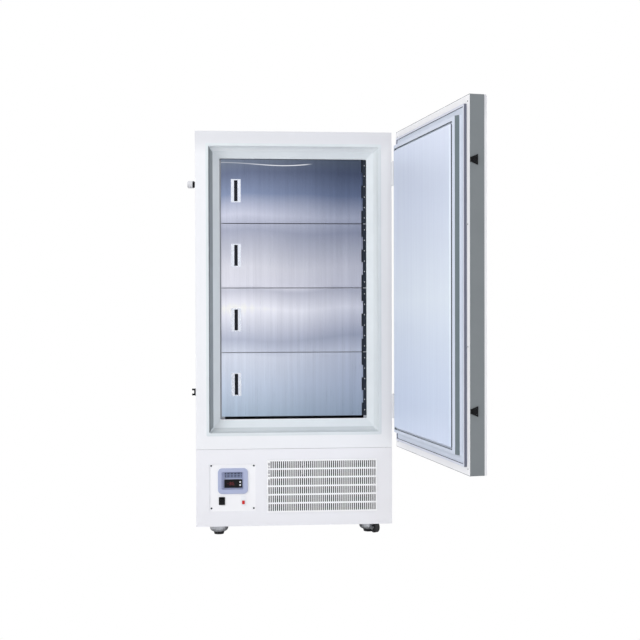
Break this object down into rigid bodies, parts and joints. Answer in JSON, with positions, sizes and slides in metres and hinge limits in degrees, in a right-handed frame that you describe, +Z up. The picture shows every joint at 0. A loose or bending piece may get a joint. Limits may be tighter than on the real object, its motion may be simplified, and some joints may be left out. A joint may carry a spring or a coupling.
{
  "type": "laboratory freezer",
  "caption": "Upright ultra-low-temperature freezer with an insulated outer door, inner compartment doors, a machine base with an intake grille and levelling casters.",
  "frame": {"origin": "on the floor, at the centre of the front right levelling foot's pad", "axes": "+X to the right, +Y to the rear, +Z up"},
  "size_m": [1.1752, 1.6893, 1.85],
  "materials": {
    "casing_paint": "white powder coat",
    "base_paint": "white powder coat",
    "insulation": "rigid foam",
    "liner_steel": "brushed",
    "breaker_plastic": "satin moulded",
    "inner_door_steel": "brushed upright",
    "pull_chrome": "bright",
    "hinge_steel": "satin",
    "chassis_zinc": "zinc plated",
    "grille_plastic": "satin moulded",
    "panel_paint": "white powder coat",
    "bezel_plastic": "satin pale blue",
    "black_plastic": "black",
    "white_plastic": "white",
    "red_plastic": "red",
    "compressor_paint": "black enamel",
    "condenser_aluminium": "finned",
    "shroud_steel": "dark painted",
    "copper": "drawn copper",
    "knob_metal": "satin",
    "band_plastic": "grey satin",
    "door_liner_plastic": "pale blue-grey",
    "gasket_rubber": "soft",
    "door_plate_steel": "satin",
    "caster_zinc": "die-cast",
    "caster_tread": "black",
    "foot_rubber": "dark"
  },
  "bodies": {
    "cabinet": {"cabinet_shell": "casing_paint", "cabinet_foam": "insulation", "cabinet_liner": "liner_steel", "breaker_frame": "breaker_plastic", "inner_shelves": "liner_steel", "inner_hinge_leaves": "hinge_steel", "base_front_panel": "base_paint", "base_side_panels": "base_paint", "base_chassis": "chassis_zinc", "base_rear_cover": "base_paint", "intake_grille": "grille_plastic", "control_plate": "panel_paint", "display_bezel": "bezel_plastic", "controller_case": "black_plastic", "rocker_housing": "black_plastic", "alarm_switch_housing": "white_plastic", "compressors": "compressor_paint", "condenser": "condenser_aluminium", "fan_shroud": "shroud_steel", "fan_motor": "shroud_steel", "refrigerant_pipes": "copper", "door_hinge_brackets": "casing_paint", "door_hinge_pins": "knob_metal", "latch_mounts": "black_plastic"},
    "outer_door": {"door_skin": "casing_paint", "door_edge_band": "band_plastic", "door_flange": "panel_paint", "door_liner": "door_liner_plastic", "door_core": "insulation", "door_gasket": "gasket_rubber", "door_plate": "door_plate_steel", "door_strikers": "black_plastic", "door_hinge_leaves": "casing_paint"},
    "key_down": {"controller_key_down": "white_plastic"},
    "key_up": {"controller_key_up": "white_plastic"},
    "rocker": {"power_rocker": "black_plastic"},
    "button": {"alarm_button": "red_plastic"},
    "fan": {"condenser_fan": "black_plastic"},
    "upper_latch": {"latch_upper_knob": "knob_metal"},
    "lower_latch": {"latch_lower_keeper": "black_plastic"},
    "inner_door_1": {"inner_door_1_panel": "inner_door_steel", "inner_door_1_pull": "pull_chrome"},
    "inner_door_2": {"inner_door_2_panel": "inner_door_steel", "inner_door_2_pull": "pull_chrome"},
    "inner_door_3": {"inner_door_3_panel": "inner_door_steel", "inner_door_3_pull": "pull_chrome"},
    "inner_door_4": {"inner_door_4_panel": "inner_door_steel", "inner_door_4_pull": "pull_chrome"},
    "caster_1": {"caster_1_housing": "caster_zinc"},
    "caster_wheel_1": {"caster_1_wheel": "caster_tread"},
    "caster_foot_1": {"caster_1_foot": "foot_rubber"},
    "caster_2": {"caster_2_housing": "caster_zinc"},
    "caster_wheel_2": {"caster_2_wheel": "caster_tread"},
    "caster_foot_2": {"caster_2_foot": "foot_rubber"},
    "caster_3": {"caster_3_housing": "caster_zinc"},
    "caster_wheel_3": {"caster_3_wheel": "caster_tread"},
    "caster_foot_3": {"caster_3_foot": "foot_rubber"},
    "caster_4": {"caster_4_housing": "caster_zinc"},
    "caster_wheel_4": {"caster_4_wheel": "caster_tread"},
    "caster_foot_4": {"caster_4_foot": "foot_rubber"}
  },
  "joints": [
    {"name": "door_hinge", "type": "hinge", "parent": "cabinet", "child": "outer_door", "pos_m": [0.11, -0.077, 1.127], "axis": [0, 0, 1], "range_deg": [-99.6, 20]},
    {"name": "inner_hinge_1", "type": "hinge", "parent": "cabinet", "child": "inner_door_1", "pos_m": [-0.026, -0.005, 1.5848], "axis": [0, 0, 1], "range_deg": [0, 105]},
    {"name": "inner_hinge_2", "type": "hinge", "parent": "cabinet", "child": "inner_door_2", "pos_m": [-0.026, -0.005, 1.2863], "axis": [0, 0, 1], "range_deg": [0, 105]},
    {"name": "inner_hinge_3", "type": "hinge", "parent": "cabinet", "child": "inner_door_3", "pos_m": [-0.026, -0.005, 0.9878], "axis": [0, 0, 1], "range_deg": [0, 105]},
    {"name": "inner_hinge_4", "type": "hinge", "parent": "cabinet", "child": "inner_door_4", "pos_m": [-0.026, -0.005, 0.6893], "axis": [0, 0, 1], "range_deg": [0, 105]},
    {"name": "key_down_press", "type": "slide", "parent": "cabinet", "child": "key_down", "axis": [0, 1, 0], "range_m": [0, 0.0005], "stiffness_N_per_m": 300},
    {"name": "key_up_press", "type": "slide", "parent": "cabinet", "child": "key_up", "axis": [0, 1, 0], "range_m": [0, 0.0005], "stiffness_N_per_m": 300},
    {"name": "rocker_tilt", "type": "hinge", "parent": "cabinet", "child": "rocker", "pos_m": [-0.6811, -0.067, 0.163], "axis": [1, 0, 0], "range_deg": [-16, 0]},
    {"name": "button_press", "type": "slide", "parent": "cabinet", "child": "button", "axis": [0, 1, 0], "range_m": [0, 0.0018], "stiffness_N_per_m": 300},
    {"name": "fan_spin", "type": "hinge", "parent": "cabinet", "child": "fan", "pos_m": [-0.222, 0.053, 0.203], "axis": [0, 1, 0], "continuous": true},
    {"name": "upper_latch_turn", "type": "hinge", "parent": "cabinet", "child": "upper_latch", "pos_m": [-0.808, -0.035, 1.61], "axis": [1, 0, 0], "range_deg": [-90, 0]},
    {"name": "lower_latch_turn", "type": "hinge", "parent": "cabinet", "child": "lower_latch", "pos_m": [-0.808, -0.035, 0.66], "axis": [1, 0, 0], "range_deg": [-90, 0]},
    {"name": "caster_swivel_1", "type": "hinge", "parent": "cabinet", "child": "caster_1", "pos_m": [0, 0, 0.05], "axis": [0, 0, 1], "continuous": true},
    {"name": "caster_roll_1", "type": "hinge", "parent": "caster_1", "child": "caster_wheel_1", "pos_m": [0.02497, -0.049, 0.027], "axis": [0.891, 0.454, 0], "continuous": true},
    {"name": "foot_screw_1", "type": "slide", "parent": "cabinet", "child": "caster_foot_1", "axis": [0, 0, 1], "range_m": [0, 0.01]},
    {"name": "caster_swivel_2", "type": "hinge", "parent": "cabinet", "child": "caster_2", "pos_m": [-0.696, 0, 0.05], "axis": [0, 0, 1], "continuous": true},
    {"name": "caster_roll_2", "type": "hinge", "parent": "caster_2", "child": "caster_wheel_2", "pos_m": [-0.696, 0.055, 0.027], "axis": [-1, 0, 0], "continuous": true},
    {"name": "foot_screw_2", "type": "slide", "parent": "cabinet", "child": "caster_foot_2", "axis": [0, 0, 1], "range_m": [0, 0.01]},
    {"name": "caster_swivel_3", "type": "hinge", "parent": "cabinet", "child": "caster_3", "pos_m": [-0.696, 0.63, 0.05], "axis": [0, 0, 1], "continuous": true},
    {"name": "caster_roll_3", "type": "hinge", "parent": "caster_3", "child": "caster_wheel_3", "pos_m": [-0.6685, 0.67763, 0.027], "axis": [-0.866, 0.5, 0], "continuous": true},
    {"name": "foot_screw_3", "type": "slide", "parent": "cabinet", "child": "caster_foot_3", "axis": [0, 0, 1], "range_m": [0, 0.01]},
    {"name": "caster_swivel_4", "type": "hinge", "parent": "cabinet", "child": "caster_4", "pos_m": [0, 0.63, 0.05], "axis": [0, 0, 1], "continuous": true},
    {"name": "caster_roll_4", "type": "hinge", "parent": "caster_4", "child": "caster_wheel_4", "pos_m": [-0.02324, 0.67985, 0.027], "axis": [-0.9063, -0.4226, 0], "continuous": true},
    {"name": "foot_screw_4", "type": "slide", "parent": "cabinet", "child": "caster_foot_4", "axis": [0, 0, 1], "range_m": [0, 0.01]}
  ]
}
